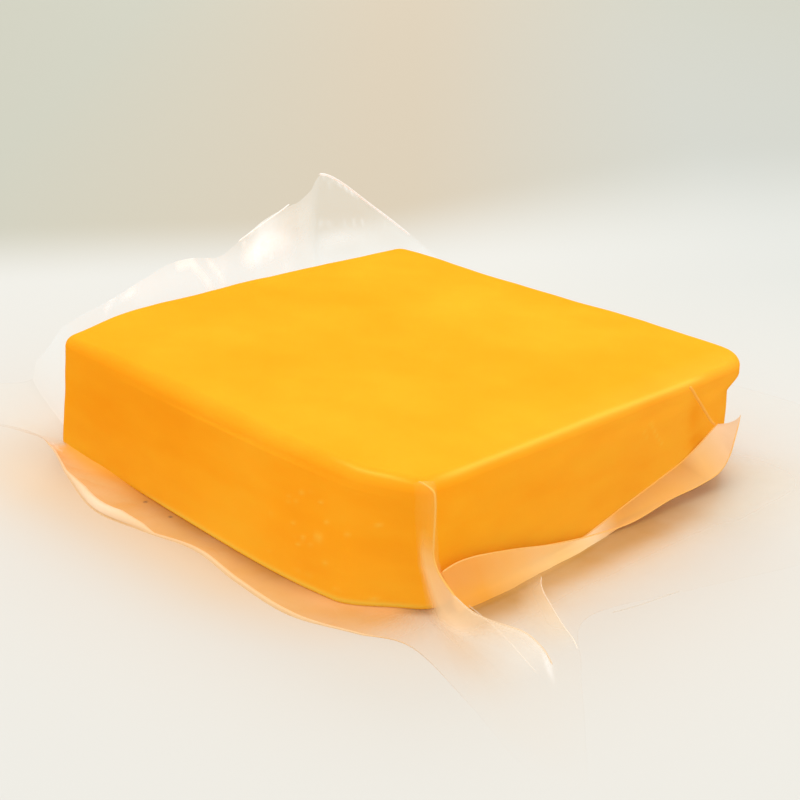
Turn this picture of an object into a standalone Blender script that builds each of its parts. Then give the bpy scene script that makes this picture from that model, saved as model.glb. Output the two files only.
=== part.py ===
"""A block of gouda, vacuum packed in a clear pouch.

The block is a flat slab with four corners, called left, front, right and back
in the order that they follow one another, anticlockwise seen from above. The
pouch hugs the slab, lies flat under it and leaves it at the foot as one welded
flange: a skirt along the first side, a long ear at each corner, and at the last
side a mouth that stands up behind the slab.

The origin is on the floor under the middle of the slab, +Z is up, and lengths
below are millimetres until they are scaled to metres in the last step.
"""

import bpy
import numpy as np

MM = 0.001

# The slab
SLAB_WIDTH = 127.0
SLAB_DEPTH = 123.0
SLAB_TOP = 30.0
TOP_CROWN = 0.6
FOOT_ROUND = 1.6
CORNERS = ("left", "front", "right", "back")
CORNER_SIGNS = np.array([(-1, -1), (1, -1), (1, 1), (-1, 1)], float)
# How far each corner stands off the plain rectangle, at the top and at the foot
TOP_SHIFTS = np.array([(-1.6, 0.6), (-1.6, -1.0), (-0.6, 1.4), (-1.9, 2.8)])
FOOT_SHIFTS = np.array([(-2.0, -1.8), (2.0, -1.2), (-0.2, -2.2), (-1.5, 1.0)])
TOP_CORNER_ROUNDS = np.array([4.2, 4.4, 14.0, 3.4])
FOOT_CORNER_ROUNDS = np.array([4.0, 5.0, 17.0, 5.0])
TOP_EDGE_ROUNDS = np.array([3.2, 2.0, 2.2, 1.6])
# The right corner is pinched in under a lip that starts this high
LIP_FROM = 22.5
LIP_TO = 26.0
# Each side's bow: an even swell, a lopsided one, and where along the side that one peaks
TOP_SWELLS = np.array([0.3, 0.6, 0.5, 2.5])
TOP_LEANS = np.array([4.2, 0.0, 0.0, 3.5])
FOOT_SWELLS = np.array([3.0, 0.6, 0.5, 1.5])
FOOT_LEANS = np.array([9.0, 0.0, 0.0, 2.5])
LEAN_PEAKS = np.array([0.86, 0.5, 0.5, 0.8])
SIDE_POINTS = 15
CORNER_POINTS = 6

# The pouch
FILM = 0.5
GAP = 0.3
SLAB_BASE = FILM + GAP
POUCH_CLEARANCE = 1.0
FOLD_STEP = 0.6
CREST_SPREAD = 0.35
MOUTH_CRUMPLE = 1.6
MOUTH_CRUMPLES = 6
LINES_A_ROW = 4
EDGE_LOWEST = 0.4
# The free edge of the flange: station, x, y, height, and how far up the slab the
# film clings before it comes away. A station counts corners, so 0 is the left
# corner, 1 the front one, and 0.5 half way along the side between them.
FREE_EDGE = np.array([
    # the tip of the left ear, and its near side
    (-0.018, -126.0, -66.0, 1.5, 0.0),
    (-0.002, -101.0, -73.0, 2.0, 0.0),
    (0.014, -78.0, -71.0, 3.5, 0.0),
    (0.05, -62.0, -72.0, 4.0, 0.0),
    # the skirt between the left and front corners
    (0.16, -43.5, -77.0, 4.0, 0.0),
    (0.30, -24.0, -84.0, 4.0, 0.0),
    (0.44, -8.0, -80.5, 4.0, 0.0),
    (0.57, 9.0, -81.0, 4.0, 0.0),
    (0.71, 28.0, -85.5, 4.0, 0.0),
    (0.86, 47.0, -88.0, 4.0, 0.0),
    (0.95, 63.0, -83.0, 4.0, 0.0),
    # the front ear
    (0.98, 76.0, -79.0, 3.0, 0.0),
    (0.995, 98.0, -86.0, 2.0, 0.0),
    (1.005, 119.0, -94.0, 1.0, 0.0),
    (1.02, 131.0, -92.0, 1.0, 0.0),
    (1.04, 120.0, -77.0, 1.0, 2.0),
    (1.08, 103.0, -57.0, 1.5, 5.0),
    # the flat sheet between the front and right corners
    (1.17, 90.0, -38.0, 1.0, 7.0),
    (1.40, 98.0, -10.0, 1.0, 7.0),
    (1.65, 107.0, 17.0, 1.0, 9.0),
    (1.88, 117.0, 50.0, 1.5, 11.0),
    # the right ear
    (2.00, 124.0, 88.0, 2.0, 12.0),
    (2.10, 100.0, 101.0, 2.0, 9.0),
    # the far side
    (2.25, 50.0, 105.0, 2.5, 5.0),
    (2.60, 0.0, 98.0, 4.0, 3.0),
    (2.88, -45.0, 95.0, 8.0, 1.0),
    # the mouth, standing up behind the side between the back and left corners
    (3.00, -70.0, 88.0, 20.0, 0.0),
    (3.08, -83.0, 72.0, 36.0, 0.0),
    (3.16, -89.0, 54.0, 51.0, 0.0),
    (3.30, -84.0, 36.0, 44.5, 0.0),
    (3.45, -79.0, 13.5, 39.5, 0.0),
    (3.60, -75.0, -6.0, 36.0, 0.0),
    (3.75, -76.0, -28.0, 31.0, 0.0),
    (3.87, -78.0, -50.0, 27.0, 0.0),
    # back down to the far side of the left ear
    (3.93, -91.0, -51.0, 14.0, 0.0),
    (3.97, -104.0, -47.0, 3.0, 0.0),
])
# The fold of film that stands off the front corner
FIN_TOP = 29.0
FIN_STANDOFF = 1.9
FIN_FOOT_REACH = 26.0
FIN_FLARE = 3.4
FIN_THICKNESS = 0.9
FIN_LEVELS = 14


def smooth_step(low, high, values):
    """0 below low, 1 above high, and an S curve between."""
    t = np.clip((values - low) / (high - low), 0.0, 1.0)
    return t * t * (3.0 - 2.0 * t)


def side_bow(t, swell, lean, peak):
    """A side's outward bow at t from 0 to 1: an even swell, and a cosine hump that peaks at peak."""
    even = swell * (1.0 - np.abs(2.0 * t - 1.0) ** 4)
    rising = 0.5 - 0.5 * np.cos(np.pi * t / peak)
    falling = 0.5 + 0.5 * np.cos(np.pi * (t - peak) / (1.0 - peak))
    return even + lean * np.where(t < peak, rising, falling)


def outline(height):
    """The slab's outline at a height, as (stations, points), anticlockwise from the left corner.

    Corners, rounds and bows run straight from their foot value to their top value,
    and the right corner alone steps out at the lip.
    """
    share = np.clip((height - SLAB_BASE) / (SLAB_TOP - SLAB_BASE), 0.0, 1.0)
    shares = np.full(4, share)
    shares[CORNERS.index("right")] = smooth_step(LIP_FROM, LIP_TO, height)
    half = np.array([SLAB_WIDTH, SLAB_DEPTH]) / 2.0
    mix = shares[:, None]
    corners = CORNER_SIGNS * half + FOOT_SHIFTS * (1.0 - mix) + TOP_SHIFTS * mix
    rounds = FOOT_CORNER_ROUNDS * (1.0 - shares) + TOP_CORNER_ROUNDS * shares
    swells = FOOT_SWELLS * (1.0 - share) + TOP_SWELLS * share
    leans = FOOT_LEANS * (1.0 - share) + TOP_LEANS * share

    runs = np.roll(corners, -1, axis=0) - corners
    lengths = np.linalg.norm(runs, axis=1)
    along = runs / lengths[:, None]
    outward = np.stack([along[:, 1], -along[:, 0]], axis=1)

    def bowed(points, side):
        t = np.clip((points - corners[side]) @ along[side] / lengths[side], 0.0, 1.0)
        bow = side_bow(t, swells[side], leans[side], LEAN_PEAKS[side])
        return bow[:, None] * outward[side]

    pieces = []
    middles = []
    count = 0
    for side in range(4):
        before = (side - 1) % 4
        start = corners[side] - rounds[side] * along[before]
        end = corners[side] + rounds[side] * along[side]
        u = np.linspace(0.0, 1.0, CORNER_POINTS, endpoint=False)[:, None]
        arc = (1 - u) ** 2 * start + 2 * u * (1 - u) * corners[side] + u * u * end
        pieces.append(arc + bowed(arc, before) + bowed(arc, side))
        middles.append(count + CORNER_POINTS // 2)
        after = (side + 1) % 4
        far_end = corners[after] - rounds[after] * along[side]
        u = np.linspace(0.0, 1.0, SIDE_POINTS, endpoint=False)[:, None]
        straight = end + (far_end - end) * u
        pieces.append(straight + bowed(straight, side))
        count += CORNER_POINTS + SIDE_POINTS
    points = np.vstack(pieces)
    points = np.roll(points, -middles[0], axis=0)
    middles = np.array(middles + [middles[0] + count]) - middles[0]

    steps = np.linalg.norm(np.roll(points, -1, axis=0) - points, axis=1)
    run = np.concatenate([[0.0], np.cumsum(steps)])
    stations = np.interp(run[:-1], run[middles], np.arange(5.0))
    return stations, points


def outward_normals(points):
    """Unit normals of a closed anticlockwise outline, pointing out."""
    along = np.roll(points, -1, axis=0) - np.roll(points, 1, axis=0)
    normals = np.stack([along[:, 1], -along[:, 0]], axis=1)
    return normals / np.linalg.norm(normals, axis=1)[:, None]


def around(stations, values, wanted):
    """Values known at stations round the slab, read at the wanted stations."""
    return np.interp(wanted, stations, values, period=4.0)


def closed_spline(rows, lines_a_row):
    """A closed Catmull-Rom curve through the rows, with lines_a_row samples from each row to the next."""
    t = (np.arange(lines_a_row) / lines_a_row)[None, :, None]
    before, here = np.roll(rows, 1, axis=0)[:, None, :], rows[:, None, :]
    after, beyond = np.roll(rows, -1, axis=0)[:, None, :], np.roll(rows, -2, axis=0)[:, None, :]
    curve = 0.5 * (
        2 * here
        + (after - before) * t
        + (2 * before - 5 * here + 4 * after - beyond) * t ** 2
        + (3 * here - before - 3 * after + beyond) * t ** 3
    )
    return curve.reshape(-1, rows.shape[1])


def ring_triangles(ring_count, ring_size, first=0):
    """Triangles between each ring of points and the next, facing out of a tube whose rings climb."""
    ring, place = np.meshgrid(np.arange(ring_count - 1), np.arange(ring_size), indexing="ij")
    lower = first + ring * ring_size + place
    lower_next = first + ring * ring_size + (place + 1) % ring_size
    upper, upper_next = lower + ring_size, lower_next + ring_size
    halves = [np.stack([lower, lower_next, upper_next], -1), np.stack([lower, upper_next, upper], -1)]
    return np.concatenate([half.reshape(-1, 3) for half in halves])


def fan_triangles(pole, first, ring_size):
    """Triangles from a pole to an anticlockwise ring, facing up."""
    place = np.arange(ring_size)
    following = (place + 1) % ring_size
    return np.stack([np.full(ring_size, pole), first + place, first + following], axis=-1)


def new_object(name, points, triangles, collection):
    """An object named name whose mesh is the triangles over the points, given in millimetres."""
    mesh = bpy.data.meshes.new(name)
    mesh.from_pydata((points * MM).tolist(), [], triangles.tolist())
    mesh.shade_smooth()
    mesh.set_sharp_from_angle(angle=np.radians(50.0))
    made = bpy.data.objects.new(name, mesh)
    collection.objects.link(made)
    return made


def new_material(name, color, roughness, **settings):
    """A Principled material, with further named sockets as given."""
    material = bpy.data.materials.new(name)
    material.use_nodes = True
    shader = material.node_tree.nodes["Principled BSDF"]
    shader.inputs["Base Color"].default_value = (*color, 1.0)
    shader.inputs["Roughness"].default_value = roughness
    shader.inputs["Metallic"].default_value = 0.0
    for socket, value in settings.items():
        shader.inputs[socket.replace("_", " ")].default_value = value
    return material


def slab_ring(height, inset):
    """One ring of the slab's surface: its outline at a height, drawn in by an inset for each station."""
    stations, points = outline(height)
    points = points - outward_normals(points) * inset(stations)[:, None]
    return np.column_stack([points, np.full(len(points), height)])


def top_round(stations):
    """The radius of the slab's top edge, which changes smoothly from side to side."""
    sides = np.arange(4) + 0.5
    return around(sides, TOP_EDGE_ROUNDS, stations)


def make_slab(collection):
    """The cheese: rings up a rounded foot, a wall and a rounded top edge, then inwards to a low crown."""
    rings = []
    for angle in np.radians([0.0, 30.0, 60.0]):
        height = SLAB_BASE + FOOT_ROUND * (1.0 - np.cos(angle))
        drawn_in = FOOT_ROUND * (1.0 - np.sin(angle))
        rings.append(slab_ring(height, lambda stations: np.full(len(stations), drawn_in)))
    wall_from = SLAB_BASE + FOOT_ROUND
    lip_heights = [LIP_FROM, (LIP_FROM + LIP_TO) / 2.0]
    for height in [*np.linspace(wall_from, LIP_FROM, 4, endpoint=False), *lip_heights]:
        rings.append(slab_ring(height, lambda stations: np.zeros(len(stations))))
    rounds = top_round(outline(SLAB_TOP)[0])
    for angle in np.radians([0.0, 25.0, 50.0, 72.0, 90.0]):
        ring = slab_ring(SLAB_TOP, lambda stations: rounds * (1.0 - np.cos(angle)))
        ring[:, 2] = SLAB_TOP - rounds * (1.0 - np.sin(angle))
        rings.append(ring)
    rim = rings[-1]
    middle = np.array([rim[:, 0].mean(), rim[:, 1].mean(), SLAB_TOP + TOP_CROWN])
    for share in (0.78, 0.45):
        ring = middle + (rim - middle) * share
        ring[:, 2] = SLAB_TOP + TOP_CROWN * (1.0 - share ** 2)
        rings.append(ring)
    size = len(rim)
    foot_middle = np.array([0.0, 0.0, SLAB_BASE])
    points = np.vstack(rings + [middle, foot_middle])
    top_pole = len(rings) * size
    triangles = np.vstack([
        ring_triangles(len(rings), size),
        fan_triangles(top_pole, (len(rings) - 1) * size, size),
        fan_triangles(top_pole + 1, 0, size)[:, ::-1],
    ])
    slab = new_object("gouda_block", points, triangles, collection)
    rind = new_material("gouda", (0.92, 0.38, 0.02), 0.4, Subsurface_Weight=0.15)
    slab.data.materials.append(rind)
    return slab


def foot_line(stations):
    """The line where the pouch leaves the floor under the slab, at the wanted stations."""
    known, points = outline(SLAB_BASE + FOOT_ROUND)
    points = points + outward_normals(points) * POUCH_CLEARANCE
    line = np.column_stack([around(known, points[:, axis], stations) for axis in range(2)])
    return line, outward_normals(line)


def pouch_rings():
    """Rings of the pouch's under surface, from the web under the slab out to the free edge.

    Each line runs out from the foot, up the slab as far as the film clings and down
    again to the floor, and then along a quadratic curve to the free edge, which starts
    level and so turns up smoothly into the mouth.
    """
    # Stations grow by 4 in one round, so an even growth comes off them while they are splined.
    rows = FREE_EDGE.copy()
    rows[:, 0] -= np.linspace(0.0, 4.0, len(rows), endpoint=False)
    curve = closed_spline(rows, LINES_A_ROW)
    stations = curve[:, 0] + np.linspace(0.0, 4.0, len(curve), endpoint=False)
    edge, crest = curve[:, 1:4], np.maximum(curve[:, 4], 0.0)
    edge[:, 2] = np.maximum(edge[:, 2], EDGE_LOWEST)
    foot, outward = foot_line(stations)

    def ring(reach, height):
        return np.column_stack([foot + outward * reach[:, None], height])

    level = np.zeros(len(stations))
    rings = [np.column_stack([foot * share, level]) for share in (0.5, 0.9)]
    rings.append(ring(level, level))
    rings.append(ring(level + FOLD_STEP, crest * 0.5))
    rings.append(ring(level + 2 * FOLD_STEP, crest))
    rings.append(ring(level + 3 * FOLD_STEP + CREST_SPREAD * crest * 0.4, crest * 0.6))
    ground = ring(level + 5 * FOLD_STEP + CREST_SPREAD * crest, level + 0.1)
    rings.append(ground)

    bend = ground + (edge - ground) * 0.7
    bend[:, 2] = ground[:, 2]
    standing = smooth_step(15.0, 30.0, edge[:, 2])
    for t in (0.2, 0.4, 0.6, 0.8, 1.0):
        points = (1 - t) ** 2 * ground + 2 * t * (1 - t) * bend + t * t * edge
        crumple = MOUTH_CRUMPLE * standing * t * np.sin(2.0 * np.pi * MOUTH_CRUMPLES * stations)
        points[:, :2] += outward * crumple[:, None]
        rings.append(points)
    return rings


def make_fin(collection):
    """The fold at the front corner: an upright plate whose outer edge flares out along the floor."""
    t = np.linspace(0.0, 1.0, FIN_LEVELS)
    heights = FILM / 2.0 + (FIN_TOP - FILM / 2.0) * t ** 1.8
    front = CORNERS.index("front")
    half = np.array([SLAB_WIDTH, SLAB_DEPTH]) / 2.0
    foot_corner = CORNER_SIGNS[front] * half + FOOT_SHIFTS[front]
    top_corner = CORNER_SIGNS[front] * half + TOP_SHIFTS[front]
    share = heights / SLAB_TOP
    corner = foot_corner * (1.0 - share)[:, None] + top_corner * share[:, None]
    inner = corner[:, 0] + GAP + 0.2
    outer = corner[:, 0] + FIN_STANDOFF + FIN_FOOT_REACH * np.exp(-heights / FIN_FLARE)
    depth = corner[:, 1] + 2.2
    inner_line = np.column_stack([inner, depth, heights])
    outer_line = np.column_stack([outer, depth + (outer - inner) * 0.05, heights])
    sides = []
    for offset in (-FIN_THICKNESS / 2.0, FIN_THICKNESS / 2.0):
        for line in (inner_line, outer_line):
            sides.append(line + np.array([0.0, offset, 0.0]))
    near_inner, near_outer, far_inner, far_outer = sides
    rings = np.stack([near_inner, near_outer, far_outer, far_inner], axis=1)
    points = rings.reshape(-1, 3)
    triangles = np.vstack([
        ring_triangles(FIN_LEVELS, 4),
        np.array([(0, 2, 1), (0, 3, 2)]),
        np.array([(0, 1, 2), (0, 2, 3)]) + (FIN_LEVELS - 1) * 4,
    ])
    fin = new_object("fin_fold", points, triangles, collection)
    fin.hide_render = True
    fin.display_type = "WIRE"
    return fin


def make_pouch(collection, helpers):
    """The pouch: an open sheet, thickened upwards, with the corner fold joined to it."""
    rings = pouch_rings()
    size = len(rings[0])
    points = np.vstack([np.zeros((1, 3))] + rings)
    # Rings that spread outwards make a sheet that faces up when their winding is turned round.
    triangles = np.vstack([
        fan_triangles(0, 1, size),
        ring_triangles(len(rings), size, first=1)[:, ::-1],
    ])
    pouch = new_object("vacuum_pouch", points, triangles, collection)
    film = new_material("clear film", (0.95, 0.93, 0.88), 0.12, Transmission_Weight=0.9, IOR=1.5)
    pouch.data.materials.append(film)
    wall = pouch.modifiers.new("Film thickness", "SOLIDIFY")
    wall.thickness = FILM * MM
    wall.offset = 1.0
    join = pouch.modifiers.new("Corner fold", "BOOLEAN")
    join.operation = "UNION"
    join.object = make_fin(helpers)
    return pouch


def clear_scene():
    for item in list(bpy.data.objects):
        bpy.data.objects.remove(item, do_unlink=True)


def main():
    clear_scene()
    parts = bpy.data.collections.new("gouda block")
    helpers = bpy.data.collections.new("helpers")
    for collection in (parts, helpers):
        bpy.context.scene.collection.children.link(collection)
    make_slab(parts)
    make_pouch(parts, helpers)


main()
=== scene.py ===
"""A block of gouda in a clear vacuum pouch, lying on a pale table.

The cheese is one fine closed surface. The pouch is made of thin open sheets: a
flange that leaves the foot of the slab all round, the skirt that curls and
twists along the front right side, the fold that stands at the front corner, a
gusset beside it and the crumpled mouth behind. Lengths are millimetres, in the
frame of the model, until a mesh is made from them.
"""

import math

import bpy
import numpy as np
from mathutils import Matrix, Vector


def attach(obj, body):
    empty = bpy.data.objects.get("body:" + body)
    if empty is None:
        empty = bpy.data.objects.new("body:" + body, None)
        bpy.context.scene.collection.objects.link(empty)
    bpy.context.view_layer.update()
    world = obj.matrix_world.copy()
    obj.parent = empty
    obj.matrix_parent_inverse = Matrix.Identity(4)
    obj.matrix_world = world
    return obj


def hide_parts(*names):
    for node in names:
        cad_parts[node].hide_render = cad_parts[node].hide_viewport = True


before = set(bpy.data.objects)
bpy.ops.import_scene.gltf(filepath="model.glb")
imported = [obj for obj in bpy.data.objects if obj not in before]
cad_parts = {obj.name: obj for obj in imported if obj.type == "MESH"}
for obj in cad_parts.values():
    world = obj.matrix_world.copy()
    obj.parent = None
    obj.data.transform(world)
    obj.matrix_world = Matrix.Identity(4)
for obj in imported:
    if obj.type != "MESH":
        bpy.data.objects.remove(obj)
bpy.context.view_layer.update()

MM = 0.001
SEED = 11

# The slab, in millimetres
SLAB_WIDTH = 127.0
SLAB_DEPTH = 123.0
SLAB_TOP = 30.0
SLAB_BASE = 0.8
TOP_CROWN = 0.6
FOOT_ROUND = 1.6
# By corner: its signs, how far it is moved at the top and at the foot, and how round it is there
CORNERS = ("left", "front", "right", "back")
CORNER_SIGNS = np.array([(-1, -1), (1, -1), (1, 1), (-1, 1)], float)
TOP_SHIFTS = np.array([(-2.4, 0.1), (-1.6, -1.0), (-0.6, 1.4), (-1.9, 2.8)])
FOOT_SHIFTS = np.array([(-2.0, -1.8), (2.0, -1.2), (-0.2, -2.2), (-1.5, 1.0)])
TOP_CORNER_ROUNDS = np.array([4.2, 4.4, 14.0, 3.4])
FOOT_CORNER_ROUNDS = np.array([4.0, 5.0, 17.0, 5.0])
# By side: how round its top edge is
TOP_EDGE_ROUNDS = np.array([3.9, 2.2, 2.4, 1.6])
# The heights between which the right corner goes from the foot's outline to the top's
LIP_FROM = 22.5
LIP_TO = 26.0
# By side: how far it bows out at the top and at the foot, evenly and to one end, and where that peaks
TOP_SWELLS = np.array([0.3, 0.6, 0.5, 2.5])
TOP_LEANS = np.array([4.2, 0.0, 0.0, 3.5])
FOOT_SWELLS = np.array([3.0, 0.6, 0.5, 1.5])
FOOT_LEANS = np.array([9.0, 0.0, 0.0, 2.5])
LEAN_PEAKS = np.array([0.86, 0.5, 0.5, 0.8])
# Points along a side and round a corner, and the length of one station
SIDE_POINTS = 96
CORNER_POINTS = 24
SIDE_RUN = 124.0

# The flange's free edge: station, x, y, height. A station counts corners, so 0 is
# the left corner, 1 the front one, and 0.5 half way along the side between them.
FREE_EDGE = np.array([
    # the tip of the left ear, and its near side
    (-0.018, -126.0, -66.0, 1.5),
    (-0.002, -101.0, -73.0, 2.0),
    (0.014, -73.0, -68.0, 3.5),
    (0.05, -60.5, -69.2, 3.0),
    # the skirt between the left and front corners
    (0.16, -43.5, -76.6, 2.2),
    (0.30, -24.0, -83.6, 2.0),
    (0.44, -7.6, -82.6, 2.0),
    (0.57, 9.0, -80.6, 2.2),
    (0.71, 28.0, -84.4, 2.2),
    (0.86, 47.0, -86.4, 2.2),
    (0.95, 63.0, -82.0, 2.4),
    # the front ear
    (0.98, 76.0, -79.0, 3.0),
    (0.995, 98.0, -86.0, 2.0),
    (1.005, 119.0, -94.0, 1.0),
    (1.02, 131.0, -92.0, 1.0),
    (1.04, 120.0, -77.0, 1.0),
    (1.08, 103.0, -57.0, 1.5),
    # the flat sheet between the front and right corners
    (1.17, 90.0, -38.0, 1.0),
    (1.40, 98.0, -10.0, 1.0),
    (1.65, 107.0, 17.0, 1.0),
    (1.88, 117.0, 50.0, 1.5),
    # the right ear
    (2.00, 124.0, 88.0, 2.0),
    (2.10, 100.0, 101.0, 2.0),
    # the far side
    (2.25, 50.0, 105.0, 2.5),
    (2.60, 0.0, 98.0, 4.0),
    (2.88, -45.0, 95.0, 8.0),
    # the mouth, standing up behind the side between the back and left corners
    (3.00, -70.0, 88.0, 20.0),
    (3.08, -83.0, 71.5, 36.6),
    (3.16, -89.0, 53.6, 49.4),
    (3.30, -84.0, 36.0, 44.5),
    (3.45, -79.0, 13.5, 39.5),
    (3.53, -77.0, 1.5, 36.6),
    (3.61, -76.0, -10.0, 38.2),
    (3.69, -77.0, -21.0, 36.8),
    (3.78, -78.0, -35.0, 31.4),
    (3.87, -78.0, -50.0, 26.8),
    # back down to the far side of the left ear
    (3.93, -91.0, -51.0, 14.0),
    (3.97, -104.0, -47.0, 3.0),
])
# Points of the free edge for each row, and lines across the flange and across its rim
LINES_A_ROW = 36
FLANGE_ACROSS = 46
LIP_ACROSS = 8
# Width of the rim that curls back over the flange, by station
LIP_STATIONS = np.array([-0.05, 0.06, 0.14, 0.22, 0.36, 0.43, 0.47, 0.60, 0.85, 0.93, 1.2, 3.9])
LIP_WIDTHS = np.array([0.2, 0.3, 0.7, 2.3, 3.3, 2.0, 0.6, 1.1, 1.1, 0.4, 0.1, 0.1])

# The skirt along the front right side, from the front corner to the right one:
# its free edge, the point where it bellies out, and where it leaves the slab (y, z)
SIDE_SKIRT = np.array([
    (65.4, -61.8, 9.0, 66.2, -61.6, 6.0, -61.2, 7.0),
    (66.8, -60.6, 10.6, 68.6, -59.8, 3.4, -59.4, 3.2),
    (67.0, -58.6, 11.2, 69.6, -57.4, 1.2, -57.4, 2.0),
    (67.0, -55.9, 11.5, 70.0, -54.6, 0.6, -55.0, 1.6),
    (67.0, -51.6, 11.3, 70.2, -50.2, 0.5, -50.5, 1.5),
    (67.0, -45.9, 10.4, 70.3, -44.2, 0.5, -45.0, 1.5),
    (67.0, -35.3, 8.2, 70.0, -33.0, 0.5, -34.0, 1.5),
    (67.0, -24.3, 5.6, 69.3, -21.5, 0.5, -22.0, 1.5),
    (67.2, -13.0, 3.7, 68.4, -11.0, 0.6, -11.0, 2.0),
    (67.4, -5.4, 2.8, 67.6, -4.0, 1.0, -3.0, 3.4),
    (67.8, 2.4, 2.2, 67.0, 3.0, 2.2, 4.6, 4.9),
    (68.2, 9.3, 2.5, 66.8, 9.3, 3.8, 9.2, 5.8),
    (68.8, 20.4, 4.2, 66.8, 20.5, 5.6, 20.7, 8.0),
    (69.5, 31.3, 4.9, 67.1, 31.0, 7.2, 30.3, 10.0),
    (69.5, 39.6, 5.9, 67.2, 39.0, 8.6, 37.3, 12.4),
    (69.5, 43.6, 9.0, 67.0, 43.0, 11.4, 41.7, 14.4),
    (69.2, 45.9, 13.2, 66.9, 45.4, 14.4, 44.4, 15.5),
    (68.0, 49.6, 18.6, 66.8, 47.8, 16.8, 46.0, 15.8),
])
# The fold at the front corner: outer edge x and z, and its height above the table
CORNER_FOLD = np.array([
    (60.6, 30.4), (62.2, 30.3), (64.0, 29.9), (65.3, 29.0), (65.7, 26.0), (65.7, 23.1),
    (65.6, 17.3), (65.9, 13.8), (68.1, 10.6), (72.5, 7.5), (77.2, 5.9), (81.4, 5.7),
    (85.0, 6.0), (90.4, 6.6), (93.6, 6.2), (97.1, 4.6), (99.2, 2.4), (101.0, 0.6),
])
FOLD_LINE_Y = -62.0
LOWEST_FILM = 0.3


def smooth_step(low, high, values):
    """0 below low, 1 above high, and an S curve between."""
    t = np.clip((values - low) / (high - low), 0.0, 1.0)
    return t * t * (3.0 - 2.0 * t)


def hump(middle, width, values):
    """A bell that is 1 at middle and falls off over width."""
    return np.exp(-((values - middle) / width) ** 2)


def side_bow(t, swell, lean, peak):
    """A side's outward bow at t from 0 to 1: an even swell, and a cosine hump that peaks at peak."""
    even = swell * (1.0 - np.abs(2.0 * t - 1.0) ** 4)
    rising = 0.5 - 0.5 * np.cos(np.pi * t / peak)
    falling = 0.5 + 0.5 * np.cos(np.pi * (t - peak) / (1.0 - peak))
    return even + lean * np.where(t < peak, rising, falling)


def outline(height):
    """The slab's outline at a height, as (stations, points), anticlockwise from the left corner."""
    share = np.clip((height - SLAB_BASE) / (SLAB_TOP - SLAB_BASE), 0.0, 1.0)
    shares = np.full(4, share)
    shares[CORNERS.index("right")] = smooth_step(LIP_FROM, LIP_TO, height)
    half = np.array([SLAB_WIDTH, SLAB_DEPTH]) / 2.0
    mix = shares[:, None]
    corners = CORNER_SIGNS * half + FOOT_SHIFTS * (1.0 - mix) + TOP_SHIFTS * mix
    rounds = FOOT_CORNER_ROUNDS * (1.0 - shares) + TOP_CORNER_ROUNDS * shares
    swells = FOOT_SWELLS * (1.0 - share) + TOP_SWELLS * share
    leans = FOOT_LEANS * (1.0 - share) + TOP_LEANS * share
    runs = np.roll(corners, -1, axis=0) - corners
    lengths = np.linalg.norm(runs, axis=1)
    along = runs / lengths[:, None]
    outward = np.stack([along[:, 1], -along[:, 0]], axis=1)

    def bowed(points, side):
        t = np.clip((points - corners[side]) @ along[side] / lengths[side], 0.0, 1.0)
        bow = side_bow(t, swells[side], leans[side], LEAN_PEAKS[side])
        return bow[:, None] * outward[side]

    pieces = []
    middles = []
    count = 0
    for side in range(4):
        before = (side - 1) % 4
        start = corners[side] - rounds[side] * along[before]
        end = corners[side] + rounds[side] * along[side]
        u = np.linspace(0.0, 1.0, CORNER_POINTS, endpoint=False)[:, None]
        arc = (1 - u) ** 2 * start + 2 * u * (1 - u) * corners[side] + u * u * end
        pieces.append(arc + bowed(arc, before) + bowed(arc, side))
        middles.append(count + CORNER_POINTS // 2)
        after = (side + 1) % 4
        far_end = corners[after] - rounds[after] * along[side]
        u = np.linspace(0.0, 1.0, SIDE_POINTS, endpoint=False)[:, None]
        straight = end + (far_end - end) * u
        pieces.append(straight + bowed(straight, side))
        count += CORNER_POINTS + SIDE_POINTS
    points = np.roll(np.vstack(pieces), -middles[0], axis=0)
    middles = np.array(middles + [middles[0] + count]) - middles[0]
    steps = np.linalg.norm(np.roll(points, -1, axis=0) - points, axis=1)
    run = np.concatenate([[0.0], np.cumsum(steps)])
    stations = np.interp(run[:-1], run[middles], np.arange(5.0))
    return stations, points


def outward_normals(points):
    """Unit normals of a closed anticlockwise outline, pointing out."""
    along = np.roll(points, -1, axis=0) - np.roll(points, 1, axis=0)
    normals = np.stack([along[:, 1], -along[:, 0]], axis=1)
    return normals / np.linalg.norm(normals, axis=1)[:, None]


def around(stations, values, wanted):
    """Values known at stations round the slab, read at the wanted stations."""
    return np.interp(wanted, stations, values, period=4.0)


def catmull_rom(before, here, after, beyond, t):
    """Points at t from 0 to 1 between here and after, on the Catmull-Rom curve through all four."""
    return 0.5 * (
        2 * here
        + (after - before) * t
        + (2 * before - 5 * here + 4 * after - beyond) * t ** 2
        + (3 * here - before - 3 * after + beyond) * t ** 3
    )


def closed_spline(rows, lines_a_row):
    """A closed Catmull-Rom curve through the rows."""
    t = (np.arange(lines_a_row) / lines_a_row)[None, :, None]
    shifted = [np.roll(rows, -step, axis=0)[:, None, :] for step in (-1, 0, 1, 2)]
    return catmull_rom(*shifted, t).reshape(-1, rows.shape[1])


def open_spline(rows, count):
    """count points, evenly spaced by row number, on the Catmull-Rom curve through the rows."""
    rows = np.asarray(rows, float)
    padded = np.vstack([2 * rows[:1] - rows[1:2], rows, 2 * rows[-1:] - rows[-2:-1]])
    place = np.linspace(0.0, len(rows) - 1.0, count)
    first = np.minimum(place.astype(int), len(rows) - 2)
    t = (place - first)[:, None]
    return catmull_rom(padded[first], padded[first + 1], padded[first + 2], padded[first + 3], t)


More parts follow.
